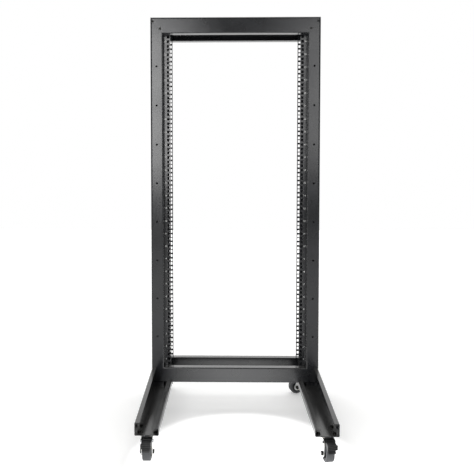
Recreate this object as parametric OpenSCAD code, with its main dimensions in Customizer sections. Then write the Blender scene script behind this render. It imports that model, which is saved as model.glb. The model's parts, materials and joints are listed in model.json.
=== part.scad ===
// Two post open frame rack on four castors.
// A front and a rear frame of folded steel bars are joined by two deep folded
// posts, and each post stands in a folded channel foot with a castor at each end.
// Millimetres, Z up, the front faces -Y, the floor is Z = 0.

/* [Equipment opening] */
// Height of the opening in rack units
rack_units = 26; // [6:1:42]
// Height of one rack unit
unit_h = 44.45; // [40:0.05:50]
// Clear width between the left and right equipment flanges
opening_w = 450; // [430:1:480]
// Distance from a flange's inner edge to its column of square holes
hole_edge = 7.55; // [6.5:0.05:12]
// Width of a square hole for cage nuts
square_hole = 9.5; // [7:0.1:10.5]
// First hole centre above the bottom of a rack unit
first_hole = 6.35; // [5:0.01:8]
// Distance from the first to the second and from the second to the third hole
hole_step = 15.875; // [14:0.005:17]

/* [Sheet] */
// Thickness of the folded sheet of posts and bars
sheet_t = 2; // [1.2:0.1:3]
// Outside radius of the large visible folds
edge_r = 6; // [4:0.5:8]
// Outside radius of the other folds
fold_r = 3.5; // [3.2:0.1:4.5]

/* [Posts] */
// Width of a post's front and rear faces
face_w = 42.5; // [36:0.5:60]
// Width of an equipment flange
flange_w = 23.5; // [22:0.5:32]
// How far an equipment flange sits behind the face of its frame
flange_setback = 30; // [28:1:45]
// Depth of the posts from front face to rear face
frame_depth = 146; // [110:1:300]
// Diameter of the round accessory holes in the faces
face_hole_d = 7; // [4:0.5:10]
// Rack units from one accessory hole to the next
face_hole_units = 3; // [1:1:6]
// First accessory hole below the top of the opening
face_hole_top = 112; // [60:1:140]

/* [Bars] */
// Height of the top bars
top_bar_h = 54.5; // [46:0.5:80]
// Height of the bottom bars
bottom_bar_h = 52; // [46:1:80]
// Depth of the returns along the edges of the bars
bar_return = 27; // [12:0.5:28]
// Open seam where a mitred bar end meets its post
seam_gap = 0.3; // [0.1:0.1:1]
// Diameter of the corner screw holes
screw_hole_d = 4.5; // [3:0.5:6]
// Distance from the mitre seam to the row of corner screws, square to the seam
screw_off_seam = 4.6; // [3.5:0.1:7]
// Distance of the corner screws from the two sides of the post's face
screw_end_gap = 9; // [8.8:0.1:14]
// How far a welded corner plate reaches along the post past the bar
corner_plate_reach = 25; // [10:1:60]

/* [Feet] */
// Thickness of the folded sheet of the feet
foot_t = 2; // [1.5:0.1:3]
// Length of a foot in front of the front face
foot_front = 405; // [200:5:500]
// Length of a foot behind the front face
foot_rear = 195; // [185:5:400]
// How far a foot reaches in past the equipment flange's edge
foot_inset = 5; // [4.7:0.1:12]
// Height of the inner wall of a foot
foot_inner_h = 21; // [18:1:40]
// Height of the outer wall of a foot at the post
foot_outer_h = 66; // [58:1:90]
// Height of the outer wall of a foot at its front end
foot_tip_h = 37.5; // [25:0.5:50]
// Height of the outer wall of a foot at its rear end
foot_heel_h = 50; // [25:0.5:56]
// Width of the lip along the inner wall
inner_lip = 16; // [8:0.5:20]
// Width of the lip along the outer wall
outer_lip = 14.5; // [8:0.5:24]
// How far the bottom bars lie above the underside of a foot
frame_lift = 12; // [10:0.5:17]
// Gap kept round a foot's walls where they pass a post
foot_slot_gap = 0.5; // [0.2:0.1:1.5]
// Diameter of the bolts that hold the posts to the feet
foot_bolt_d = 8; // [5:0.5:10]
// Distance of those bolts from the front and rear faces of a post
foot_bolt_side = 35; // [26:1:50]
// Height of the lower bolts above the underside of a foot
foot_bolt_low = 27; // [22:1:30]
// Distance from the lower to the upper bolts
foot_bolt_step = 23; // [18:1:24]

/* [Castors] */
// Height of a castor from the floor to the underside of the foot
castor_h = 76; // [72:1:90]
// Distance of a castor's centre from the end of its foot
castor_inset = 40; // [34:1:60]
// Diameter of the wheels
wheel_d = 50; // [40:1:52]
// Width of the tyres
wheel_w = 24; // [16:0.5:30]
// Thickness of the tyre on its hub
tyre_t = 7; // [4:0.5:9]
// Distance from the swivel axis to the wheel axle
trail = 26; // [20:0.5:30]
// Side of the square castor plate
plate_w = 60; // [54:1:64]
// Distance between the bolt holes of a castor plate
plate_bolt_gap = 45; // [40:1:48]
// Thickness of a castor plate
plate_t = 2.5; // [2:0.1:4]
// Thickness of the castor fork
fork_t = 2.5; // [1.5:0.1:3]
// Diameter of the crown of the fork
crown_d = 52; // [44:1:54]
// Diameter of the wheel axle
axle_d = 8; // [5:0.5:10]
// Radius of the round end of a fork cheek about the axle
cheek_end_r = 11; // [9:0.5:14]
// Gap between wheel and fork on each side
wheel_side_gap = 2; // [1:0.1:3]
// Radial clearance of a turning fit
turn_fit = 0.05; // [0.02:0.01:0.09]
// Distance from the swivel axis to the pin of the brake pedal
pedal_pin_out = 33; // [32:0.5:36]
// Distance from the underside of the crown's sheet to the pin of the brake pedal
pedal_pin_drop = 8; // [6.8:0.1:9]
// Distance from the swivel axis to the front of the brake pedal
pedal_reach = 66; // [62:1:75]
// Width of the toe of the brake pedal
pedal_toe_w = 29; // [28:1:44]
// Distance in front of its pin at which the pedal starts to slope down
pedal_bend = 13; // [8:0.5:18]
// Height of the toe of the brake pedal
pedal_toe_h = 13; // [9:0.5:16]
// Width of the hood that covers the ends of the fork cheeks
pedal_hood_w = 30.5; // [28.5:0.5:33]
// How far the brake pedal turns down, in degrees
pedal_travel = 12; // [6:1:14]
// Gap left between brake shoe and tyre when the pedal is down
shoe_gap = 0.8; // [0.6:0.1:2]

/* [Rest position] */
// Swivel angle of the front left castor, 0 with the wheel in front
turn_front_left = 0; // [-10:1:10]
// Swivel angle of the front right castor
turn_front_right = 10; // [-10:1:10]
// Swivel angle of the rear left castor
turn_rear_left = 180; // [170:1:190]
// Swivel angle of the rear right castor
turn_rear_right = -76; // [-100:1:-70]

/* [Hidden] */
$fn = 48;
cut = 1;                                   // how far a cutting shape runs past a face

// Frame
post_in = opening_w / 2 + flange_w;        // inner side of a post's face
frame_half = post_in + face_w;             // outer side of a post
web_in = frame_half - sheet_t;             // inside of a post's side web
opening_h = rack_units * unit_h;
foot_z = castor_h;                         // underside of the feet
foot_floor = foot_z + foot_t;
frame_z = foot_z + frame_lift;             // underside of the bottom bars
opening_z = frame_z + bottom_bar_h;
opening_top = opening_z + opening_h;
frame_top = opening_top + top_bar_h;
face_hole_gap = face_hole_units * unit_h;
face_hole_count = floor((opening_h - face_hole_top - face_hole_d) / face_hole_gap) + 1;
face_hole_x = (post_in + frame_half) / 2;

// Feet
foot_in = opening_w / 2 - foot_inset;      // inner side of a foot
foot_mid = (foot_in + web_in) / 2;
slot_in = web_in - foot_t - foot_slot_gap; // inner side of the slot for a foot's wall
slot_top = foot_z + foot_outer_h + foot_slot_gap;
foot_bolt_y = [foot_bolt_side, frame_depth - foot_bolt_side];
foot_bolt_z = [foot_z + foot_bolt_low, foot_z + foot_bolt_low + foot_bolt_step];

// Castors, with Z = 0 at the underside of the foot and the wheel towards -Y.
// A point of a castor's side view is [distance in front of the swivel axis, height].
wheel_r = wheel_d / 2;
axle = [trail, wheel_r - castor_h];
cheek_in = wheel_w / 2 + wheel_side_gap;   // inside of a fork cheek
cheek_out = cheek_in + fork_t;
run_gap = 0.3;                             // gap between faces that turn past each other
race_t = 3;                                // height of the ball race under the plate
crown_z = -(plate_t + race_t + run_gap);   // top of the crown
crown_drop = 8;                            // height of the crown with its sloping rim
kingpin_d = 12;
plate_hole_d = 6.5;
bolt_head = 1.75;                          // width of a hexagon head in bolt diameters
pedal_pin_d = 5;
pin_end_r = pedal_pin_d / 2 + 4;           // round end of a fork cheek about the pedal pin
pedal_pin = [pedal_pin_out, crown_z - fork_t - pedal_pin_drop];
pedal_arm_drop = 0.5;                      // how much lower the arm lies at its bend
pedal_toe_lift = 1.4;                      // top of the toe above the pin's axis
toe_t = 6;                                 // thickness of the pedal's toe with its ribs
hood_r = pin_end_r + 2.3;                  // outside of the pedal's hood about its pin
block_r = wheel_r + shoe_gap + 4;          // outside of the brake block about the tyre

// How far a turned castor reaches to the front, or one turned about to the rear
function pedal_end(turn) = pedal_reach * cos(turn) + pedal_toe_w / 2 * abs(sin(turn));
function wheel_end(turn) = -(trail + wheel_r) * cos(turn) + wheel_w / 2 * abs(sin(turn));

// The point p turned by a degrees about c in a side view
function turned(p, c, a) = c + [
    (p - c)[0] * cos(a) - (p - c)[1] * sin(a),
    (p - c)[0] * sin(a) + (p - c)[1] * cos(a)
];

// The origin is the middle of the whole rack's length
front_reach = foot_front - castor_inset
    + max(pedal_end(turn_front_left), pedal_end(turn_front_right));
rear_reach = foot_rear - castor_inset
    + max(castor_inset, wheel_end(turn_rear_left), wheel_end(turn_rear_right));
face_y = (front_reach - rear_reach) / 2;   // place of the front face
front_castor_y = face_y + castor_inset - foot_front;
rear_castor_y = face_y + foot_rear - castor_inset;

// A folded strip of sheet: axis-parallel stretches of its middle line, with a round
// fold of outside radius radii[i] at each inner point.
module folded(path, radii, t) {
    last = len(path) - 1;
    for (i = [0 : last - 1]) {
        a = path[i];
        b = path[i + 1];
        along = (b - a) / norm(b - a);
        start = a + along * (i == 0 ? 0 : radii[i] - t / 2);
        stop = b - along * (i == last - 1 ? 0 : radii[i + 1] - t / 2);
        translate(start)
            rotate(atan2(along[1], along[0]))
                translate([0, -t / 2])
                    square([norm(stop - start), t]);
    }
    for (i = [1 : last - 1]) {
        back = (path[i - 1] - path[i]) / norm(path[i - 1] - path[i]);
        on = (path[i + 1] - path[i]) / norm(path[i + 1] - path[i]);
        centre = path[i] + (back + on) * (radii[i] - t / 2);
        corner = -(back + on);
        translate(centre)
            intersection() {
                difference() {
                    circle(r = radii[i]);
                    circle(r = radii[i] - t);
                }
                translate([min(0, corner[0]) * radii[i], min(0, corner[1]) * radii[i]])
                    square(radii[i]);
            }
    }
}

// Extrude a drawing whose x is Y and whose y is Z along X
module along_x(x0, x1) {
    translate([x0, 0, 0])
        rotate([90, 0, 90])
            linear_extrude(height = x1 - x0)
                children();
}

// Extrude a drawing whose x is X and whose y is Z along Y
module along_y(y0, y1) {
    translate([0, y1, 0])
        rotate([90, 0, 0])
            linear_extrude(height = y1 - y0)
                children();
}

// The same shape for the rear frame
module rear_of_frame() {
    translate([0, frame_depth, 0])
        mirror([0, 1, 0])
            children();
}

// ---- Posts ----

module post_section() {
    m = sheet_t / 2;
    folded(
        [
            [opening_w / 2, flange_setback + m],
            [post_in + m, flange_setback + m],
            [post_in + m, m],
            [frame_half - m, m],
            [frame_half - m, frame_depth - m],
            [post_in + m, frame_depth - m],
            [post_in + m, frame_depth - flange_setback - m],
            [opening_w / 2, frame_depth - flange_setback - m]
        ],
        [0, fold_r, fold_r, edge_r, edge_r, fold_r, fold_r, 0],
        sheet_t
    );
}

// Square holes of one flange, three to a rack unit
module square_holes() {
    for (u = [0 : rack_units - 1])
        for (k = [0 : 2])
            translate([
                opening_w / 2 + hole_edge - square_hole / 2,
                opening_z + u * unit_h + first_hole + k * hole_step - square_hole / 2
            ])
                square(square_hole);
}

module face_holes() {
    for (i = [0 : face_hole_count - 1])
        translate([face_hole_x, opening_top - face_hole_top - i * face_hole_gap])
            circle(d = face_hole_d);
}

// Outline in X and Z of the corner that the top bar's face covers on a post
module top_mitre(gap) {
    polygon([
        [post_in, opening_top - gap],
        [frame_half + cut, opening_top + face_w + cut - gap],
        [frame_half + cut, frame_top + cut],
        [post_in - cut, frame_top + cut],
        [post_in - cut, opening_top - gap]
    ]);
}

// The same for the bottom bar, down to the underside given
module bottom_mitre(gap, under) {
    polygon([
        [post_in, opening_z + gap],
        [frame_half + cut, opening_z - face_w - cut + gap],
        [frame_half + cut, under],
        [post_in - cut, under],
        [post_in - cut, opening_z + gap]
    ]);
}

// Corner screws: two along the seam, on the bar's side of it
module corner_screw_points() {
    off = screw_off_seam * sqrt(2);
    for (inward = [screw_end_gap, face_w - screw_end_gap]) {
        x = frame_half - inward;
        translate([x, opening_top + x - post_in + off])
            children();
        translate([x, opening_z - x + post_in - off])
            children();
    }
}

// Plates welded behind the corners of a frame, which the screws are tapped into
module corner_plates() {
    side = post_in + sheet_t / 2;
    width = face_w - sheet_t;
    translate([side, opening_top - corner_plate_reach])
        square([width, top_bar_h + corner_plate_reach - edge_r]);
    translate([side, foot_floor])
        square([width, opening_z + corner_plate_reach - foot_floor]);
}

// What one frame cuts from a post: the bars' corners and all holes of that side
module post_side_cuts() {
    along_y(-cut, sheet_t) {
        top_mitre(seam_gap);
        bottom_mitre(seam_gap, foot_z);
    }
    along_y(-cut, sheet_t + edge_r)
        translate([post_in - cut, frame_top - edge_r])
            square([face_w + 2 * cut, edge_r + cut]);
    along_y(-cut, sheet_t + edge_r)
        translate([slot_in, foot_z])
            square([web_in - slot_in, slot_top - foot_z]);
    along_y(flange_setback - cut, flange_setback + sheet_t + cut)
        square_holes();
    along_y(-cut, 2 * sheet_t + cut) {
        face_holes();
        corner_screw_points()
            circle(d = screw_hole_d);
    }
}

// Outlines of the foot bolts' holes in Y and Z
module foot_bolt_holes() {
    for (y = foot_bolt_y)
        for (z = foot_bolt_z)
            translate([y, z])
                circle(d = foot_bolt_d);
}

module post() {
    color("#26282b")
        translate([0, face_y, 0])
            difference() {
                union() {
                    translate([0, 0, foot_floor])
                        linear_extrude(height = frame_top - sheet_t - foot_floor)
                            post_section();
                    along_y(sheet_t, 2 * sheet_t)
                        corner_plates();
                    rear_of_frame()
                        along_y(sheet_t, 2 * sheet_t)
                            corner_plates();
                }
                post_side_cuts();
                rear_of_frame()
                    post_side_cuts();
                along_x(web_in - cut, frame_half + cut)
                    foot_bolt_holes();
            }
}

// ---- Bars ----

// Channel section of a bar from z0 to z1, open to the inside of the rack.
// The radii are those of the lower and the upper fold.
module bar_section(z0, z1, low_r, high_r) {
    m = sheet_t / 2;
    folded(
        [[bar_return, z0 + m], [m, z0 + m], [m, z1 - m], [bar_return, z1 - m]],
        [0, low_r, high_r, 0],
        sheet_t
    );
}

module both_ends() {
    children();
    mirror([1, 0, 0])
        children();
}

// Plan outline of the frame, with the round outer edges of the posts
module frame_plan() {
    for (side = [-1, 1])
        translate([side * (frame_half - edge_r), edge_r])
            circle(r = edge_r);
    translate([edge_r - frame_half, 0])
        square([2 * (frame_half - edge_r), edge_r]);
    translate([-frame_half, edge_r])
        square([2 * frame_half, frame_depth]);
}

module bar_screw_holes() {
    along_y(-cut, sheet_t + cut)
        corner_screw_points()
            circle(d = screw_hole_d);
}

module top_bar() {
    color("#232528")
        intersection() {
            difference() {
                along_x(-frame_half, frame_half)
                    bar_section(opening_top, frame_top, fold_r, edge_r);
                both_ends() {
                    along_y(-cut, bar_return + cut)
                        polygon([
                            [post_in, opening_top - cut],
                            [post_in, opening_top],
                            [frame_half + cut, opening_top + face_w + cut],
                            [frame_half + cut, opening_top - cut]
                        ]);
                    translate([post_in, sheet_t, opening_top - cut])
                        cube([face_w + cut, bar_return, top_bar_h - edge_r + cut]);
                    bar_screw_holes();
                }
            }
            translate([0, 0, opening_top])
                linear_extrude(height = top_bar_h)
                    frame_plan();
        }
}

module bottom_bar() {
    color("#232528")
        difference() {
            along_x(-slot_in, slot_in)
                bar_section(frame_z, opening_z, fold_r, fold_r);
            both_ends() {
                along_y(-cut, bar_return + cut)
                    polygon([
                        [post_in, opening_z + cut],
                        [post_in, opening_z],
                        [frame_half + cut, opening_z - face_w - cut],
                        [frame_half + cut, opening_z + cut]
                    ]);
                translate([post_in, sheet_t, frame_z - cut])
                    cube([face_w + cut, bar_return, bottom_bar_h + 2 * cut]);
                bar_screw_holes();
            }
        }
}

// ---- Feet ----

// Section of a foot: inner lip, inner wall, floor and the root of the outer wall
module foot_section() {
    m = foot_t / 2;
    folded(
        [
            [foot_in + inner_lip, foot_z + foot_inner_h - m],
            [foot_in + m, foot_z + foot_inner_h - m],
            [foot_in + m, foot_z + m],
            [web_in - m, foot_z + m],
            [web_in - m, foot_z + foot_inner_h]
        ],
        [0, fold_r, fold_r, fold_r, 0],
        foot_t
    );
}

// Outer wall seen from the side, up to the fold of its lip
module foot_wall() {
    low = foot_z + foot_inner_h - 2 * foot_t;
    polygon([
        [-foot_front, low],
        [-foot_front, foot_z + foot_tip_h - fold_r],
        [-foot_slot_gap, foot_z + foot_outer_h - fold_r],
        [-foot_slot_gap, foot_z + foot_outer_h],
        [frame_depth + foot_slot_gap, foot_z + foot_outer_h],
        [frame_depth + foot_slot_gap, foot_z + foot_outer_h - fold_r],
        [foot_rear, foot_z + foot_heel_h - fold_r],
        [foot_rear, low]
    ]);
}

// Sloping lip from (y0, h0) to (y1, h1), heights above the underside of the foot
module sloping_lip(y0, h0, y1, h1) {
    m = foot_t / 2;
    slope = atan2(h1 - h0, y1 - y0);
    wall_down = 2 * fold_r;
    intersection() {
        translate([0, (y0 + y1) / 2, foot_z + (h0 + h1) / 2])
            rotate([slope, 0, 0])
                along_y(-foot_front, foot_front)
                    folded(
                        [[web_in - outer_lip, -m], [web_in - m, -m], [web_in - m, -wall_down]],
                        [0, fold_r, 0],
                        foot_t
                    );
        translate([0, y0, foot_z])
            cube([frame_half, y1 - y0, 2 * foot_outer_h]);
    }
}

module castor_bolt_holes() {
    for (sx = [-1, 1])
        for (sy = [-1, 1])
            translate([sx * plate_bolt_gap / 2, sy * plate_bolt_gap / 2])
                circle(d = plate_hole_d);
}

module foot() {
    color("#26282b")
        translate([0, face_y, 0])
            difference() {
                union() {
                    along_y(-foot_front, foot_rear)
                        foot_section();
                    along_x(web_in - foot_t, web_in)
                        foot_wall();
                    sloping_lip(-foot_front, foot_tip_h, -foot_slot_gap, foot_outer_h);
                    sloping_lip(frame_depth + foot_slot_gap, foot_outer_h, foot_rear, foot_heel_h);
                }
                translate([foot_in - cut, -foot_slot_gap, frame_z])
                    cube([inner_lip + 2 * cut, frame_depth + 2 * foot_slot_gap, foot_inner_h]);
                for (y = [front_castor_y, rear_castor_y])
                    translate([foot_mid, y - face_y, foot_z - cut])
                        linear_extrude(height = foot_t + 2 * cut)
                            castor_bolt_holes();
                along_x(web_in - foot_t - cut, web_in + cut)
                    foot_bolt_holes();
            }
}

// Bolt with its axis along X: a round head on the post, a nut inside the foot's wall
module foot_bolt() {
    head_r = 1.1 * foot_bolt_d;
    head_t = 0.56 * foot_bolt_d;
    nut_t = 0.8 * foot_bolt_d;
    thread_end = 2;
    nut_face = web_in - foot_t;
    translate([frame_half, 0, 0])
        rotate([0, 90, 0])
            rotate_extrude()
                intersection() {
                    translate([0, head_t - 2 * head_r])
                        circle(r = 2 * head_r);
                    square([head_r, head_t]);
                }
    translate([nut_face - nut_t - thread_end, 0, 0])
        rotate([0, 90, 0])
            cylinder(h = frame_half - nut_face + nut_t + thread_end, d = foot_bolt_d);
    translate([nut_face - nut_t, 0, 0])
        rotate([0, 90, 0])
            cylinder(h = nut_t, d = bolt_head * foot_bolt_d, $fn = 6);
}

module foot_bolts() {
    color("#8d9094")
        for (y = foot_bolt_y)
            for (z = foot_bolt_z)
                translate([0, face_y + y, z])
                    foot_bolt();
}

// ---- Castors ----

module rounded_square(w, r) {
    square([w, w - 2 * r], center = true);
    square([w - 2 * r, w], center = true);
    for (sx = [-1, 1])
        for (sy = [-1, 1])
            translate([sx * (w / 2 - r), sy * (w / 2 - r)])
                circle(r = r);
}

// Everything of a castor that stays with the foot: plate, ball race and kingpin
module castor_plate() {
    corner_r = 5;
    race_step = 3;
    race_r = crown_d / 2 - race_step;
    rivet_t = 2.5;
    rivet_r = kingpin_d / 2 + race_step;
    rivet_top = crown_z - fork_t - run_gap;
    color("#a9acaf") {
        translate([0, 0, -plate_t])
            linear_extrude(height = plate_t)
                difference() {
                    rounded_square(plate_w, corner_r);
                    castor_bolt_holes();
                }
        translate([0, 0, -plate_t - race_t])
            cylinder(h = race_t + plate_t / 2, r = race_r);
        translate([0, 0, rivet_top])
            cylinder(h = -plate_t / 2 - rivet_top, d = kingpin_d);
        translate([0, 0, rivet_top - rivet_t])
            cylinder(h = rivet_t, r = rivet_r);
    }
}

// Two circles and all that lies between their outer tangents
module link(a, ra, b, rb) {
    on = (b - a) / norm(b - a);
    lean = acos((ra - rb) / norm(b - a));
    left = turned(on, [0, 0], lean);
    right = turned(on, [0, 0], -lean);
    polygon([a + ra * left, b + rb * left, b + rb * right, a + ra * right]);
    translate(a)
        circle(r = ra);
    translate(b)
        circle(r = rb);
}

// One cheek of the fork in side view, with round ends at the axle and at the front and
// back of the crown. A braked fork reaches out to the pedal's pin.
module cheek_outline(braked) {
    corner_r = 4;
    top = crown_z - fork_t / 2;
    back = [-crown_d / 4, top - corner_r];
    front = braked ? pedal_pin : [crown_d / 4, top - corner_r];
    front_r = braked ? pin_end_r : corner_r;
    top_edge = braked
        ? [[crown_d / 2 - fork_t - 2, top], front + [0, front_r]]
        : [[front[0], top]];
    difference() {
        union() {
            link(axle, cheek_end_r, front, front_r);
            link(axle, cheek_end_r, back, corner_r);
            polygon(concat([axle, back, [back[0], top]], top_edge, [front]));
        }
        translate(axle)
            circle(d = axle_d);
    }
}

// Extrude a side view of a castor from x0 to x1 of its width
module side_view(x0, x1) {
    translate([x0, 0, 0])
        rotate([90, 0, -90])
            mirror([0, 0, 1])
                linear_extrude(height = x1 - x0)
                    children();
}

// Half section of the fork's crown: flat on top, with a rim that slopes down and in
module crown_section() {
    bevel = 3;
    rim_r = crown_d / 2;
    low_r = rim_r - 1;
    polygon([
        [kingpin_d / 2 + turn_fit, crown_z],
        [rim_r - bevel, crown_z],
        [rim_r, crown_z - bevel],
        [low_r, crown_z - crown_drop],
        [low_r - fork_t, crown_z - crown_drop],
        [rim_r - fork_t - 0.5, crown_z - bevel],
        [rim_r - fork_t - 2, crown_z - fork_t],
        [kingpin_d / 2 + turn_fit, crown_z - fork_t]
    ]);
}

module castor_fork(braked) {
    color("#b4b7ba")
        difference() {
            union() {
                rotate_extrude()
                    crown_section();
                side_view(cheek_in, cheek_out)
                    cheek_outline(braked);
                side_view(-cheek_out, -cheek_in)
                    cheek_outline(braked);
            }
            if (braked)
                side_view(-crown_d, crown_d)
                    translate(pedal_pin)
                        circle(d = pedal_pin_d + 2 * turn_fit);
        }
}

// Axle bolt with a head on one side and a nut on the other
module castor_axle() {
    head_t = axle_d / 2;
    color("#8d9094")
        translate([0, -axle[0], axle[1]])
            rotate([0, 90, 0]) {
                translate([0, 0, -cheek_out])
                    cylinder(h = 2 * cheek_out, d = axle_d);
                for (z = [cheek_out, -cheek_out - head_t])
                    translate([0, 0, z])
                        cylinder(h = head_t, d = bolt_head * axle_d, $fn = 6);
            }
}

// Hub with a boss that fills the fork, a web and a rim, recessed from both sides
module castor_hub() {
    rim_r = wheel_r - tyre_t;
    rim_t = 3;
    rim_half = wheel_w / 2 - 1;
    web_half = wheel_w / 4;
    bore_r = axle_d / 2 + turn_fit;
    boss_r = axle_d / 2 + 4;
    boss_half = cheek_in - 0.4;
    color("#77797c")
        translate([0, -axle[0], axle[1]])
            rotate([0, 90, 0])
                rotate_extrude()
                    polygon([
                        [bore_r, -boss_half],
                        [boss_r, -boss_half],
                        [boss_r, -web_half],
                        [rim_r - rim_t, -web_half],
                        [rim_r - rim_t, -rim_half],
                        [rim_r, -rim_half],
                        [rim_r, rim_half],
                        [rim_r - rim_t, rim_half],
                        [rim_r - rim_t, web_half],
                        [boss_r, web_half],
                        [boss_r, boss_half],
                        [bore_r, boss_half]
                    ]);
}

module castor_tyre() {
    rim_r = wheel_r - tyre_t;
    half = wheel_w / 2;
    shoulder_r = 3;
    color("#3a3b3d")
        translate([0, -axle[0], axle[1]])
            rotate([0, 90, 0])
                rotate_extrude() {
                    translate([rim_r, -half])
                        square([tyre_t - shoulder_r, wheel_w]);
                    translate([rim_r, -half + shoulder_r])
                        square([tyre_t, wheel_w - 2 * shoulder_r]);
                    for (side = [-1, 1])
                        translate([wheel_r - shoulder_r, side * (half - shoulder_r)])
                            circle(r = shoulder_r);
                }
}

// The pedal is drawn at rest. Its brake block is concentric with this point, which is
// where the axle lies, as seen from the pedal, once the pedal is down.
pressed_centre = turned(axle, pedal_pin, pedal_travel);

// Lever of the brake pedal in side view: a boss round the pin, a filled hood over it and
// an arm to the toe
module pedal_lever() {
    boss_r = pedal_pin_d / 2 + 2;
    arm_t = 4;
    arm_end = [pedal_reach - toe_t, pedal_pin[1] + pedal_toe_lift];
    translate(pedal_pin)
        circle(r = boss_r);
    pedal_hood(pedal_pin_d / 2);
    difference() {
        polygon([
            pedal_pin + [0, boss_r],
            pedal_pin + [pedal_bend, boss_r - pedal_arm_drop],
            arm_end,
            arm_end - [0, arm_t],
            pressed_centre + block_r * [cos(45), sin(45)],
            pedal_pin - [0, boss_r]
        ]);
        translate(pressed_centre)
            circle(r = wheel_r + shoe_gap);
    }
}

// Quarter of a ring about the pin, from the radius given to the outside of the hood
module pedal_hood(inner_r) {
    hood_back = 1;
    translate(pedal_pin)
        intersection() {
            difference() {
                circle(r = hood_r);
                circle(r = inner_r);
            }
            translate([-hood_back, 0])
                square([hood_back + hood_r, hood_r]);
        }
}

// Brake block in side view: a strip round the front of the tyre, below the lever
module brake_block() {
    block_h = 19;
    intersection() {
        difference() {
            translate(pressed_centre)
                circle(r = block_r);
            translate(pressed_centre)
                circle(r = wheel_r + shoe_gap);
        }
        translate([pressed_centre[0], pressed_centre[1] + wheel_r / 2])
            square([block_r, block_h]);
    }
}

// Toe of the pedal in side view: a plate with round edges and grip ribs on its front
module pedal_toe() {
    rib_r = 1.6;
    ribs = 3;
    back = pedal_reach - toe_t;
    low = pedal_pin[1] + pedal_toe_lift - pedal_toe_h;
    translate([back, low + rib_r])
        square([toe_t - rib_r, pedal_toe_h - 2 * rib_r]);
    for (i = [0 : ribs - 1])
        translate([pedal_reach - rib_r, low + rib_r + i * (pedal_toe_h - 2 * rib_r) / (ribs - 1)])
            circle(r = rib_r);
    translate([back, low])
        square([toe_t - rib_r, pedal_toe_h]);
}

module castor_brake() {
    side_gap = 1;
    block_side_gap = 0.5;
    hood_gap = 0.7;
    rivet_t = 1.5;
    rivet_d = pedal_pin_d + 3;
    color("#1f2022") {
        side_view(-cheek_in + side_gap, cheek_in - side_gap)
            pedal_lever();
        side_view(-pedal_hood_w / 2, pedal_hood_w / 2)
            pedal_hood(pin_end_r + hood_gap);
        side_view(block_side_gap - wheel_w / 2, wheel_w / 2 - block_side_gap)
            brake_block();
        side_view(-pedal_toe_w / 2, pedal_toe_w / 2)
            pedal_toe();
        side_view(-cheek_out - run_gap - rivet_t, cheek_out + run_gap + rivet_t)
            translate(pedal_pin)
                circle(d = pedal_pin_d);
        for (x = [cheek_out + run_gap, -cheek_out - run_gap - rivet_t])
            side_view(x, x + rivet_t)
                translate(pedal_pin)
                    circle(d = rivet_d);
    }
}

// ---- The parts ----

module left_side() {
    mirror([1, 0, 0])
        children();
}

module front_frame() {
    translate([0, face_y, 0])
        children();
}

module rear_frame() {
    translate([0, face_y, 0])
        rear_of_frame()
            children();
}

module castor_front_left() {
    translate([-foot_mid, front_castor_y, foot_z])
        children();
}

module castor_front_right() {
    translate([foot_mid, front_castor_y, foot_z])
        children();
}

module castor_rear_left() {
    translate([-foot_mid, rear_castor_y, foot_z])
        children();
}

module castor_rear_right() {
    translate([foot_mid, rear_castor_y, foot_z])
        children();
}

module castor_front_left_turned() {
    castor_front_left()
        rotate(turn_front_left)
            children();
}

module castor_front_right_turned() {
    castor_front_right()
        rotate(turn_front_right)
            children();
}

module castor_rear_left_turned() {
    castor_rear_left()
        rotate(turn_rear_left)
            children();
}

module castor_rear_right_turned() {
    castor_rear_right()
        rotate(turn_rear_right)
            children();
}

left_side() post();  // post_left
post();  // post_right
front_frame() top_bar();  // top_bar_front
rear_frame() top_bar();  // top_bar_rear
front_frame() bottom_bar();  // bottom_bar_front
rear_frame() bottom_bar();  // bottom_bar_rear
left_side() foot();  // foot_left
foot();  // foot_right
left_side() foot_bolts();  // foot_bolts_left
foot_bolts();  // foot_bolts_right

castor_front_left() castor_plate();  // castor_front_left_plate
castor_front_left_turned() castor_fork(true);  // castor_front_left_fork
castor_front_left_turned() castor_axle();  // castor_front_left_axle
castor_front_left_turned() castor_hub();  // castor_front_left_hub
castor_front_left_turned() castor_tyre();  // castor_front_left_tyre
castor_front_left_turned() castor_brake();  // castor_front_left_brake

castor_front_right() castor_plate();  // castor_front_right_plate
castor_front_right_turned() castor_fork(true);  // castor_front_right_fork
castor_front_right_turned() castor_axle();  // castor_front_right_axle
castor_front_right_turned() castor_hub();  // castor_front_right_hub
castor_front_right_turned() castor_tyre();  // castor_front_right_tyre
castor_front_right_turned() castor_brake();  // castor_front_right_brake

castor_rear_left() castor_plate();  // castor_rear_left_plate
castor_rear_left_turned() castor_fork(false);  // castor_rear_left_fork
castor_rear_left_turned() castor_axle();  // castor_rear_left_axle
castor_rear_left_turned() castor_hub();  // castor_rear_left_hub
castor_rear_left_turned() castor_tyre();  // castor_rear_left_tyre

castor_rear_right() castor_plate();  // castor_rear_right_plate
castor_rear_right_turned() castor_fork(false);  // castor_rear_right_fork
castor_rear_right_turned() castor_axle();  // castor_rear_right_axle
castor_rear_right_turned() castor_hub();  // castor_rear_right_hub
castor_rear_right_turned() castor_tyre();  // castor_rear_right_tyre
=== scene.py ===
# %% [markdown]
# # An open frame rack in black powder coat
# The rack is folded steel sheet: two deep posts, four bars and two channel feet on castors.
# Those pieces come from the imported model, already at their real size and place. This lesson
# adds the looks: finishes for the sheet and the castors, the printed unit numbers, and the
# screws, bolts and nuts. It starts with the frame, because every place is worked out from it.

# %% Load the frame
import json
import math

import bpy
from mathutils import Matrix, Vector


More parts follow.
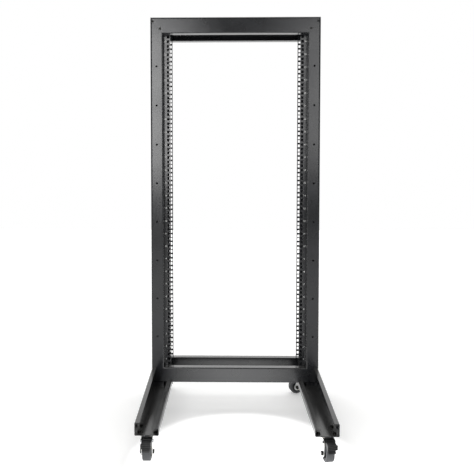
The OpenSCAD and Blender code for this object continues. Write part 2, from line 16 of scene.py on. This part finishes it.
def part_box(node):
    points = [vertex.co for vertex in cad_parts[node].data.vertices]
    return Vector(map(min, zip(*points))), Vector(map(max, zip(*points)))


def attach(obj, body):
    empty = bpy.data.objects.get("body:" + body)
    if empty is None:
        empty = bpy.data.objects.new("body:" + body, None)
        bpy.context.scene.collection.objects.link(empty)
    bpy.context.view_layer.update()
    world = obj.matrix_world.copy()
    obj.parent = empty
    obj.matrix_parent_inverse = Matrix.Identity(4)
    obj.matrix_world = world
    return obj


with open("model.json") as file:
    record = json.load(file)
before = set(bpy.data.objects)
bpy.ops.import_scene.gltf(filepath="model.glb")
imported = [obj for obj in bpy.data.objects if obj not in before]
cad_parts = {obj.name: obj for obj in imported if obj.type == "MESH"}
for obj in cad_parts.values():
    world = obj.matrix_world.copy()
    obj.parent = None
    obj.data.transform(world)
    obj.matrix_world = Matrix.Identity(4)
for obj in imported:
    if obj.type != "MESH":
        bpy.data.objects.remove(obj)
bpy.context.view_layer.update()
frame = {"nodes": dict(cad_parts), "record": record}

nodes = frame["nodes"]
mounts = {mount["name"]: mount for mount in frame["record"]["mounts"]}

# %% [markdown]
# ## Reading sizes off the frame
# A maker thinks in millimetres and Blender here is in metres, so one small function converts.
# The front face, the opening and the rack units all follow from the boxes of a few nodes, so
# nothing is typed twice and every added piece lands where the steel is.

# %% Sizes from the frame


def mm(value):
    """Millimetres in metres."""
    return value / 1000


face_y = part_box("top_bar_front")[0].y
back_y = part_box("top_bar_rear")[1].y
frame_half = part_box("top_bar_front")[1].x
opening_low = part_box("bottom_bar_front")[1].z
opening_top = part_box("top_bar_front")[0].z
unit_h = mm(44.45)
units = round((opening_top - opening_low) / unit_h)
flange_y = mounts["equipment_rail_front_left"]["pos_m"][1]
print("rack units:", units, "front face at y =", round(face_y, 4))

# %% [markdown]
# ## The camera
# The rack is seen from the front, a little left of its middle and from waist height, through
# a lens of about normal length. The camera looks down by only a few degrees, so that the
# posts stay nearly parallel, and a small vertical shift brings the castors back into view.
# A shift keeps uprights upright where a stronger tilt would make them lean.

# %% Camera
CAMERA_LEFT = mm(26.7)
CAMERA_AWAY = mm(2054.5)
CAMERA_HEIGHT = mm(807.5)
CAMERA_DOWN = math.radians(2.5)
CAMERA_TURN = math.radians(0.979)
LENS_MM = 45.29
SENSOR_MM = 36
SHIFT_X = 0.0417
SHIFT_Y = -0.0729

camera_data = bpy.data.cameras.new("camera")
camera_data.lens = LENS_MM
camera_data.sensor_width = SENSOR_MM
camera_data.shift_x = SHIFT_X
camera_data.shift_y = SHIFT_Y
camera = bpy.data.objects.new("camera", camera_data)
camera.location = (-CAMERA_LEFT, face_y - CAMERA_AWAY, CAMERA_HEIGHT)
camera.rotation_euler = (math.pi / 2 - CAMERA_DOWN, 0, CAMERA_TURN)
bpy.context.scene.collection.objects.link(camera)
bpy.context.scene.camera = camera
print("camera at", [round(v, 3) for v in camera.location])

# %% [markdown]
# ## Colours and nodes
# Finishes are easiest to name as the hex values of a colour card. Those are sRGB, and the
# renderer works in linear light, so one function converts them. A second function adds a
# shader node together with its settings and its links, which keeps each finish short.

# %% Colour and node helpers
NOISE_LOW = 0.3
NOISE_HIGH = 0.7


def colour(hex_value):
    """A linear RGBA colour from an sRGB hex value such as '#1c1d1f'."""
    channels = [int(hex_value[i:i + 2], 16) / 255 for i in (1, 3, 5)]
    linear = [c / 12.92 if c <= 0.04045 else ((c + 0.055) / 1.055) ** 2.4 for c in channels]
    return (*linear, 1.0)


def add_node(tree, kind, settings=None, links=None):
    """Add a node, set its sockets or properties by name or number, and link its inputs."""
    node = tree.nodes.new(kind)
    for name, value in (settings or {}).items():
        if isinstance(name, int) or name in node.inputs:
            node.inputs[name].default_value = value
        else:
            setattr(node, name, value)
    for name, source in (links or {}).items():
        tree.links.new(source, node.inputs[name])
    return node


def new_finish(name):
    """An empty material with its output and a principled shader, and its object coordinates."""
    material = bpy.data.materials.new(name)
    material.use_nodes = True
    tree = material.node_tree
    tree.nodes.clear()
    shader = add_node(tree, "ShaderNodeBsdfPrincipled")
    add_node(tree, "ShaderNodeOutputMaterial", links={"Surface": shader.outputs["BSDF"]})
    place = add_node(tree, "ShaderNodeTexCoord").outputs["Object"]
    return material, tree, shader, place


def noise(tree, place, size, detail=2.0, roughness=0.5):
    """Noise whose lumps are about size metres apart. Gives a value from 0 to 1."""
    return add_node(
        tree,
        "ShaderNodeTexNoise",
        {"Scale": 1 / size, "Detail": detail, "Roughness": roughness},
        {"Vector": place},
    ).outputs["Fac"]


def spread(tree, value, low, high):
    """Stretch a noise value, which stays near its middle, to the range low to high."""
    return add_node(
        tree,
        "ShaderNodeMapRange",
        {"From Min": NOISE_LOW, "From Max": NOISE_HIGH, "To Min": low, "To Max": high},
        {"Value": value},
    ).outputs["Result"]


def blend_colours(tree, amount, first, second):
    """Mix two hex colours by a value from 0 to 1."""
    mix = add_node(
        tree, "ShaderNodeMix", {"data_type": "RGBA", 6: colour(first), 7: colour(second)}
    )
    tree.links.new(amount, mix.inputs[0])
    return mix.outputs[2]


def bump(tree, height, distance, strength=1.0):
    """A normal from a height that stands for distance metres."""
    return add_node(
        tree, "ShaderNodeBump", {"Distance": distance, "Strength": strength}, {"Height": height}
    ).outputs["Normal"]


# %% [markdown]
# ## Powder coat on the sheet steel
# Posts, bars and feet are sprayed with black polyester powder and baked at about 180 degrees.
# The melt never levels fully, so the skin keeps a fine orange peel with waves one to two
# millimetres apart, and a gloss that varies a little from place to place. The waves are
# drawn at 2.4 mm here, a little coarser than real, so that they still show at a distance.
# Upward faces are mixed towards a pale grey, a painted highlight for the light that falls on them
# from above.

# %% Powder coat
# How far the painted top light lifts faces that look up, and from which slope it starts.
MOST_TOP_LIGHT = 0.12
TOP_LIGHT_FROM_SLOPE = 0.6
GRAIN_IN_PEEL = 0.25


def powder_coat_black():
    """Black polyester powder with orange peel, and a painted highlight on what looks up."""
    material, tree, shader, place = new_finish("powder_coat_satin_black")
    cloudy = noise(tree, place, mm(90), detail=3)
    peel = noise(tree, place, mm(2.4), detail=1)
    grain = noise(tree, place, mm(0.7), detail=0)
    coat = blend_colours(tree, spread(tree, cloudy, 0, 1), "#1a1b1d", "#222326")
    normal = add_node(tree, "ShaderNodeNewGeometry").outputs["Normal"]
    up = add_node(tree, "ShaderNodeSeparateXYZ", links={"Vector": normal}).outputs["Z"]
    # Painted highlight: faces that look up are mixed towards pale grey, standing in for light from
    # above.
    painted_top_light = add_node(
        tree,
        "ShaderNodeMapRange",
        {"From Min": TOP_LIGHT_FROM_SLOPE, "From Max": 1.0, "To Min": 0.0, "To Max": MOST_TOP_LIGHT},
        {"Value": up},
    ).outputs["Result"]
    top_lit_coat = add_node(tree, "ShaderNodeMix", {"data_type": "RGBA", 7: colour("#77756f")})
    tree.links.new(painted_top_light, top_lit_coat.inputs[0])
    tree.links.new(coat, top_lit_coat.inputs[6])
    tree.links.new(top_lit_coat.outputs[2], shader.inputs["Base Color"])
    tree.links.new(spread(tree, cloudy, 0.19, 0.24), shader.inputs["Roughness"])
    skin = add_node(
        tree,
        "ShaderNodeMath",
        {"operation": "MULTIPLY_ADD", 1: GRAIN_IN_PEEL},
        {0: grain, 2: peel},
    ).outputs["Value"]
    tree.links.new(bump(tree, skin, mm(0.05), 0.6), shader.inputs["Normal"])
    return material


POWDER_COAT = powder_coat_black()
print("finish:", POWDER_COAT.name)

# %% [markdown]
# ## Zinc, rubber, nylon and paint
# The castors are small but catch the eye, because their forks and plates are the only bright
# parts: pressed steel with bright zinc plating, a metal with a faint blue and yellow play and
# small dull clouds. Axles, bolts and screws have the same plating passivated black. The brake
# pedal is a black painted pressing, the tyres are grey thermoplastic rubber with a fine matt
# grain, and the wheel centres are black nylon from the mould. Each gets its own small recipe.

# %% Castor finishes


def zinc_plated_steel(name, pale, warm, rough_low, rough_high):
    """Plated steel whose colour and gloss drift between two values in small clouds."""
    material, tree, shader, place = new_finish(name)
    clouds = noise(tree, place, mm(9), detail=4)
    grain = noise(tree, place, mm(0.8), detail=2)
    tree.links.new(
        blend_colours(tree, spread(tree, clouds, 0, 1), pale, warm), shader.inputs["Base Color"]
    )
    shader.inputs["Metallic"].default_value = 1.0
    tree.links.new(spread(tree, clouds, rough_low, rough_high), shader.inputs["Roughness"])
    tree.links.new(bump(tree, grain, mm(0.02), 0.4), shader.inputs["Normal"])
    return material


def painted_pressing_black():
    """Stoved black paint, thinner and duller than the powder coat."""
    material, tree, shader, place = new_finish("stoved_paint_black")
    clouds = noise(tree, place, mm(12), detail=3)
    grain = noise(tree, place, mm(1.0), detail=2)
    tree.links.new(
        blend_colours(tree, spread(tree, clouds, 0, 1), "#0d0d0f", "#161718"),
        shader.inputs["Base Color"],
    )
    tree.links.new(spread(tree, clouds, 0.42, 0.55), shader.inputs["Roughness"])
    tree.links.new(bump(tree, grain, mm(0.04), 0.5), shader.inputs["Normal"])
    return material


def thermoplastic_rubber_grey():
    """Grey tyre rubber with scuffs a few millimetres wide."""
    material, tree, shader, place = new_finish("thermoplastic_rubber_grey")
    scuffs = noise(tree, place, mm(7), detail=5, roughness=0.65)
    grain = noise(tree, place, mm(0.6), detail=1)
    tree.links.new(
        blend_colours(tree, spread(tree, scuffs, 0, 1), "#434446", "#545557"),
        shader.inputs["Base Color"],
    )
    tree.links.new(spread(tree, scuffs, 0.62, 0.82), shader.inputs["Roughness"])
    tree.links.new(bump(tree, grain, mm(0.08), 0.5), shader.inputs["Normal"])
    return material


def moulded_nylon_black():
    """Black nylon with faint flow marks from the mould."""
    material, tree, shader, place = new_finish("moulded_nylon_black")
    flow = noise(tree, place, mm(14), detail=2)
    grain = noise(tree, place, mm(0.9), detail=1)
    tree.links.new(
        blend_colours(tree, spread(tree, flow, 0, 1), "#18191b", "#222325"),
        shader.inputs["Base Color"],
    )
    tree.links.new(spread(tree, flow, 0.42, 0.55), shader.inputs["Roughness"])
    tree.links.new(bump(tree, grain, mm(0.05), 0.4), shader.inputs["Normal"])
    return material


ZINC = zinc_plated_steel("bright_zinc_plated_steel", "#c6cad0", "#cfccc4", 0.26, 0.42)
BLACK_ZINC = zinc_plated_steel("black_zinc_plated_steel", "#2b2c2f", "#35342f", 0.32, 0.48)
PEDAL_PAINT = painted_pressing_black()
RUBBER = thermoplastic_rubber_grey()
NYLON = moulded_nylon_black()
print("finishes:", [m.name for m in (ZINC, BLACK_ZINC, PEDAL_PAINT, RUBBER, NYLON)])

# %% [markdown]
# ## Which node wears which finish
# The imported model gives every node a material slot. The names of the nodes say what they
# are made of, so a short table from the end of a name to a finish dresses the castors. The
# bolts of the feet are black zinc, and all that is left is powder coated.

# %% Dress the nodes
FINISHES = {
    "_tyre": RUBBER,
    "_hub": NYLON,
    "_brake": PEDAL_PAINT,
    "_plate": ZINC,
    "_fork": ZINC,
    "_axle": BLACK_ZINC,
}


def wear(piece, material):
    """Give a piece this one material."""
    piece.data.materials.clear()
    piece.data.materials.append(material)


def finish_of(name):
    """The finish of the node with this name."""
    if name.startswith("foot_bolts"):
        return BLACK_ZINC
    return FINISHES.get("_" + name.rsplit("_", 1)[-1], POWDER_COAT)


for name, node in nodes.items():
    for slot in node.material_slots:
        slot.material = finish_of(name)
print("dressed", len(nodes), "nodes in", len({finish_of(name).name for name in nodes}), "finishes")

# %% [markdown]
# ## Tools for modelling small parts
# The screws and nuts are made as by hand: a primitive, a few edit mode operators, a boolean
# modifier for a recess. Each is modelled once, standing on the origin, and then copied. A copy
# gets its own mesh and its place goes into that mesh, so the object stays at the origin.

# %% Modelling helpers


def deselect_all():
    """Leave nothing selected."""
    bpy.ops.object.select_all(action="DESELECT")


def select_faces(piece, chosen):
    """Enter edit mode with just the faces selected for which chosen(face) is true."""
    deselect_all()
    bpy.context.view_layer.objects.active = piece
    piece.select_set(True)
    bpy.ops.object.mode_set(mode="EDIT")
    bpy.ops.mesh.select_mode(type="FACE")
    bpy.ops.mesh.select_all(action="DESELECT")
    bpy.ops.object.mode_set(mode="OBJECT")
    for face in piece.data.polygons:
        face.select = chosen(face)
    bpy.ops.object.mode_set(mode="EDIT")


def leave_edit_mode():
    """Go back to object mode."""
    bpy.ops.object.mode_set(mode="OBJECT")


def cylinder(name, radius, low, high, sides):
    """A cylinder along Z from low to high, with its place in its mesh."""
    deselect_all()
    bpy.ops.mesh.primitive_cylinder_add(
        vertices=sides, radius=radius, depth=high - low, location=(0, 0, (low + high) / 2)
    )
    piece = bpy.context.object
    piece.name = name
    bpy.ops.object.transform_apply(location=True, rotation=True, scale=True)
    return piece


def is_top(high):
    """A test for faces that look up and lie at the height high."""
    return lambda face: face.normal.z > 0.9 and abs(face.center.z - high) < 1e-6


def is_bottom(low):
    """A test for faces that look down and lie at the height low."""
    return lambda face: face.normal.z < -0.9 and abs(face.center.z - low) < 1e-6


def round_rim(piece, chosen, width, steps):
    """Bevel the edges round the chosen faces."""
    select_faces(piece, chosen)
    bpy.ops.mesh.bevel(offset=width, segments=steps, affect="EDGES")
    leave_edit_mode()


def combine(piece, other, operation):
    """Apply a boolean of two closed meshes to the first and delete the second."""
    deselect_all()
    bpy.context.view_layer.objects.active = piece
    modifier = piece.modifiers.new("combine", "BOOLEAN")
    modifier.operation = operation
    modifier.solver = "EXACT"
    modifier.object = other
    bpy.ops.object.modifier_apply(modifier=modifier.name)
    bpy.data.objects.remove(other)


def joined(pieces, name):
    """Join pieces into one object with this name."""
    deselect_all()
    for piece in pieces:
        piece.select_set(True)
    bpy.context.view_layer.objects.active = pieces[0]
    if len(pieces) > 1:
        bpy.ops.object.join()
    pieces[0].name = name
    pieces[0].data.name = name
    return pieces[0]


def smooth(piece, angle=35):
    """Shade smooth, with sharp edges where faces meet at more than angle degrees."""
    deselect_all()
    piece.select_set(True)
    bpy.context.view_layer.objects.active = piece
    bpy.ops.object.shade_smooth_by_angle(angle=math.radians(angle))


def copies(model, matrices, name):
    """Copies of a model, each with its own mesh moved by a matrix, joined into one piece."""
    made = []
    for matrix in matrices:
        copy = model.copy()
        copy.data = model.data.copy()
        copy.data.transform(matrix)
        bpy.context.scene.collection.objects.link(copy)
        made.append(copy)
    return joined(made, name)


def drop(model):
    """Remove a model that was only there to be copied."""
    bpy.data.objects.remove(model)


def facing_front(x, y, z):
    """Stand a model up so that its top, or flat text, looks to the front, at a place."""
    return Matrix.Translation((x, y, z)) @ Matrix.Rotation(math.pi / 2, 4, "X")


def facing_back(x, y, z):
    """The same, looking to the back."""
    turn = Matrix.Rotation(math.pi, 4, "Z") @ Matrix.Rotation(math.pi / 2, 4, "X")
    return Matrix.Translation((x, y, z)) @ turn


# %% [markdown]
# ## Corner screws
# The mitred corners of both frames are held by two screws each, driven through the bar into
# a plate behind it. They are low button heads with a hexagon socket and a black zinc finish.
# A cylinder gives the head, a bevel rounds its rim, and a six sided cutter makes the socket.

# %% Corner screws
SCREW_HEAD_R = mm(3.9)
SCREW_HEAD_T = mm(1.9)
SCREW_HEAD_ROUND = mm(1.3)
SCREW_SOCKET_R = mm(1.45)
SCREW_SOCKET_FLOOR = mm(0.7)
SCREW_SHANK_R = mm(2.1)
SCREW_SHANK_L = mm(5)
SCREW_POINT_ROUND = mm(0.5)
SCREW_SHANK_IN_HEAD = mm(0.1)
FACE_W = mm(42.5)
SCREW_END_GAP = mm(9)
SCREW_OFF_SEAM = mm(4.6)


def corner_screw():
    """A button head screw along Z. Z = 0 is the face that it is driven into."""
    head = cylinder("screw_head", SCREW_HEAD_R, 0, SCREW_HEAD_T, 32)
    round_rim(head, is_top(SCREW_HEAD_T), SCREW_HEAD_ROUND, 4)
    socket = cylinder("screw_socket", SCREW_SOCKET_R, SCREW_SOCKET_FLOOR, 2 * SCREW_HEAD_T, 6)
    combine(head, socket, "DIFFERENCE")
    shank = cylinder("screw_shank", SCREW_SHANK_R, -SCREW_SHANK_L, SCREW_SHANK_IN_HEAD, 20)
    round_rim(shank, is_bottom(-SCREW_SHANK_L), SCREW_POINT_ROUND, 2)
    screw = joined([head, shank], "corner_screw")
    smooth(screw)
    return screw


def corner_screw_places():
    """X and Z of the eight screws on one face of the frame."""
    post_in = frame_half - FACE_W
    away = SCREW_OFF_SEAM * math.sqrt(2)
    places = []
    for inward in (SCREW_END_GAP, FACE_W - SCREW_END_GAP):
        x = frame_half - inward
        for side in (-1, 1):
            places.append((side * x, opening_top + x - post_in + away))
            places.append((side * x, opening_low - x + post_in - away))
    return places


screw_model = corner_screw()
for word, facing, y in (("front", facing_front, face_y), ("rear", facing_back, back_y)):
    spots = [facing(x, y, z) for x, z in corner_screw_places()]
    screws = copies(screw_model, spots, f"corner_screws_{word}")
    wear(screws, BLACK_ZINC)
    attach(screws, "root")
    print(screws.name + ":", len(spots))
drop(screw_model)

# %% [markdown]
# ## Unit numbers
# Every rack unit is numbered on the flanges, from 1 at the bottom, in white print beside the
# middle hole. Screen printing leaves a thin film with crisp edges. Text objects give the
# figures: they are turned into meshes first and then put in place, a film's thickness proud.

# %% Unit numbers


def screen_print_white():
    """White ink that covers unevenly."""
    material, tree, shader, place = new_finish("screen_print_white")
    cover = noise(tree, place, mm(1.2), detail=3)
    tree.links.new(
        blend_colours(tree, spread(tree, cover, 0, 1), "#d4d5d3", "#efefec"),
        shader.inputs["Base Color"],
    )
    tree.links.new(spread(tree, cover, 0.5, 0.65), shader.inputs["Roughness"])
    return material


PRINT_WHITE = screen_print_white()
NUMBER_H = mm(6.2)
NUMBER_X = mm(242.4)
PRINT_T = mm(0.06)
FONT_SIZE = 1.38 * NUMBER_H
FIGURE_SPACING = 0.92


def number_mesh(value):
    """One printed number as a mesh that lies in X and Y, centred on the origin."""
    deselect_all()
    bpy.ops.object.text_add()
    figure = bpy.context.object
    figure.data.body = str(value)
    figure.data.align_x = "CENTER"
    figure.data.align_y = "CENTER"
    figure.data.size = FONT_SIZE
    figure.data.space_character = FIGURE_SPACING
    figure.data.extrude = PRINT_T / 2
    figure.data.resolution_u = 3
    bpy.ops.object.convert(target="MESH")
    return bpy.context.object


def number_column(name, side, facing, y):
    """All the numbers of one flange. The side is -1 for the left and 1 for the right."""
    figures = []
    for unit in range(units):
        figure = number_mesh(unit + 1)
        z = opening_low + (unit + 0.5) * unit_h
        figure.data.transform(facing(side * NUMBER_X, y, z))
        figures.append(figure)
    column = joined(figures, name)
    wear(column, PRINT_WHITE)
    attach(column, "root")
    print(name + ":", len(figures))


rear_flange_y = face_y + back_y - flange_y
for side, word in ((-1, "left"), (1, "right")):
    number_column(f"unit_numbers_front_{word}", side, facing_front, flange_y - PRINT_T / 2)
    number_column(f"unit_numbers_rear_{word}", side, facing_back, rear_flange_y + PRINT_T / 2)

# %% [markdown]
# ## Castor bolts
# Each castor plate hangs on four M6 bolts. Low round heads sit under the plate, where they
# clear the turning fork, and a washer and a thin hexagon nut close each one in the foot's
# channel. The nut is a six sided cylinder crossed with a round one whose rims are bevelled,
# which takes its corners off as turning does, and a bevelled stub stands out of it.

# %% Castor bolts
BOLT_R = mm(3)
BOLT_HEAD_R = mm(5.4)
BOLT_HEAD_T = mm(2.2)
BOLT_HEAD_ROUND = mm(1.4)
BOLT_STUB = mm(1.2)
BOLT_STUB_ROUND = mm(0.6)
WASHER_R = mm(6)
WASHER_T = mm(1)
WASHER_ROUND = mm(0.3)
NUT_CORNER_R = mm(5.75)
NUT_ROUND_R = mm(5.4)
NUT_T = mm(3.2)
NUT_BEVEL = mm(0.7)
CUT_PAST = mm(1)
BOLT_SHANK_IN_HEAD = mm(0.5)
PLATE_T = mm(2.5)
FOOT_T = mm(2)
PLATE_BOLT_GAP = mm(45)


def castor_bolt():
    """A bolt with its head below the plate. Z = 0 is the top of the plate."""
    head_low = -PLATE_T - BOLT_HEAD_T
    head = cylinder("bolt_head", BOLT_HEAD_R, head_low, -PLATE_T, 28)
    round_rim(head, is_bottom(head_low), BOLT_HEAD_ROUND, 4)
    nut_low = FOOT_T + WASHER_T
    washer = cylinder("bolt_washer", WASHER_R, FOOT_T, nut_low, 28)
    round_rim(washer, is_top(nut_low), WASHER_ROUND, 2)
    nut_high = nut_low + NUT_T
    nut = cylinder("bolt_nut", NUT_CORNER_R, nut_low, nut_high, 6)
    rounding = cylinder("nut_round", NUT_ROUND_R, nut_low - CUT_PAST, nut_high + CUT_PAST, 28)
    round_rim(rounding, lambda face: abs(face.normal.z) > 0.9, NUT_BEVEL, 2)
    combine(nut, rounding, "INTERSECT")
    shank_high = nut_high + BOLT_STUB
    shank = cylinder("bolt_shank", BOLT_R, -PLATE_T - BOLT_SHANK_IN_HEAD, shank_high, 24)
    round_rim(shank, is_top(shank_high), BOLT_STUB_ROUND, 2)
    bolt = joined([head, washer, nut, shank], "castor_bolt")
    smooth(bolt)
    return bolt


def plate_bolt_places(plate):
    """The places of the four bolts of a castor plate, on its top."""
    low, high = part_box(plate)
    centre = (low + high) / 2
    half = PLATE_BOLT_GAP / 2
    corners = [(x, y) for x in (-half, half) for y in (-half, half)]
    return [Matrix.Translation((centre.x + x, centre.y + y, high.z)) for x, y in corners]


bolt_model = castor_bolt()
for name in [n for n in nodes if n.endswith("_plate")]:
    spots = plate_bolt_places(name)
    bolts = copies(bolt_model, spots, name.replace("_plate", "_bolts"))
    wear(bolts, BLACK_ZINC)
    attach(bolts, "root")
    print(bolts.name + ":", len(spots))
drop(bolt_model)

# %% [markdown]
# ## Floor
# A pale matt floor puts the black steel on a plain ground. The coat mirrors it: a pool of
# light in front shines up at the middle of the bottom bar and fades towards the feet. The far
# end is lit as well, so that the camera sees it meet the white surround without a line.

# %% Floor
FLOOR_SIZE = 14.0
FLOOR_LIGHT = 0.25
POOL_LIGHT = 3.0
POOL_X = mm(20)
POOL_AWAY = mm(380)
POOL_CORE = mm(100)
POOL_RIM = mm(340)
FAR_LIGHT = 0.45
FAR_FROM = 0.5
FAR_TO = 4.0


def floor_finish():
    """Matt white paint that glows in a pool before the rack and at the far end."""
    material, tree, shader, place = new_finish("matt_floor_white")
    mottle = noise(tree, place, 0.35, detail=3)
    tree.links.new(
        blend_colours(tree, spread(tree, mottle, 0, 1), "#f2f2f1", "#f8f8f7"),
        shader.inputs["Base Color"],
    )
    shader.inputs["Roughness"].default_value = 0.85
    shader.inputs["Emission Color"].default_value = (1, 1, 1, 1)
    away = add_node(
        tree,
        "ShaderNodeVectorMath",
        {"operation": "DISTANCE", 1: (POOL_X, face_y - POOL_AWAY, 0)},
        {0: place},
    ).outputs["Value"]
    pool = add_node(
        tree,
        "ShaderNodeMapRange",
        {"From Min": POOL_CORE, "From Max": POOL_RIM, "To Min": POOL_LIGHT, "To Max": FLOOR_LIGHT},
        {"Value": away},
    ).outputs["Result"]
    depth = add_node(tree, "ShaderNodeSeparateXYZ", links={"Vector": place}).outputs["Y"]
    far = add_node(
        tree,
        "ShaderNodeMapRange",
        {"From Min": FAR_FROM, "From Max": FAR_TO, "To Min": 0.0, "To Max": FAR_LIGHT},
        {"Value": depth},
    ).outputs["Result"]
    glow = add_node(tree, "ShaderNodeMath", {"operation": "ADD"}, {0: pool, 1: far})
    tree.links.new(glow.outputs["Value"], shader.inputs["Emission Strength"])
    return material


deselect_all()
bpy.ops.mesh.primitive_plane_add(size=FLOOR_SIZE, location=(0, 0, 0))
floor = bpy.context.object
floor.name = "studio_floor"
wear(floor, floor_finish())
print("floor:", FLOOR_SIZE, "m square")

# %% [markdown]
# ## Surround and lights
# On a glossy black the lights do the drawing. A softbox on the left is mirrored in the upper
# half of the left post, a weaker one on the right in the other post, and the gap between them
# leaves the middle of the top bar dark. The surround is white behind the rack, where it lights
# every edge that faces away, and dim in front, so that the faces keep their depth.

# %% Surround and lights
FRONT_LIGHT = 0.08
FRONT_END = -0.3
BACK_LIGHT = 1.4
BACK_END = 0.6
LIGHT_Y = -3.2

world = bpy.data.worlds.new("studio")
bpy.context.scene.world = world
world.use_nodes = True
sky = world.node_tree
sky.nodes.clear()
direction = add_node(sky, "ShaderNodeTexCoord").outputs["Generated"]
behind = add_node(sky, "ShaderNodeSeparateXYZ", links={"Vector": direction}).outputs["Y"]
light_level = add_node(
    sky,
    "ShaderNodeMapRange",
    {"From Min": FRONT_END, "From Max": BACK_END, "To Min": FRONT_LIGHT, "To Max": BACK_LIGHT},
    {"Value": behind},
).outputs["Result"]
seen = add_node(sky, "ShaderNodeLightPath").outputs["Is Camera Ray"]
level = add_node(sky, "ShaderNodeMix", {"data_type": "FLOAT", 3: 1.0})
sky.links.new(seen, level.inputs[0])
sky.links.new(light_level, level.inputs[2])
ground = add_node(
    sky, "ShaderNodeBackground", {"Color": (1, 1, 1, 1)}, {"Strength": level.outputs[0]}
)
add_node(sky, "ShaderNodeOutputWorld", links={"Surface": ground.outputs["Background"]})


def softbox(name, place, aim, width, height, radiance):
    """A rectangular light at place that looks at aim. Its power follows from its radiance."""
    lamp = bpy.data.lights.new(name, "AREA")
    lamp.shape = "RECTANGLE"
    lamp.size = width
    lamp.size_y = height
    lamp.energy = radiance * math.pi * width * height
    piece = bpy.data.objects.new(name, lamp)
    piece.location = place
    piece.rotation_euler = (Vector(aim) - Vector(place)).to_track_quat("-Z", "Y").to_euler()
    piece.visible_camera = False
    bpy.context.scene.collection.objects.link(piece)


softbox("softbox_left", (-0.9, LIGHT_Y, 1.5), (-0.4, 0, 1.2), 0.96, 1.54, radiance=9.0)
softbox("softbox_right", (0.92, LIGHT_Y, 1.58), (0.4, 0, 1.2), 0.8, 1.44, radiance=3.9)
softbox("softbox_top", (0, 0.6, 3.6), (0, 0.3, 0), 3.0, 3.0, radiance=1.2)
bpy.context.scene.view_settings.view_transform = "Standard"
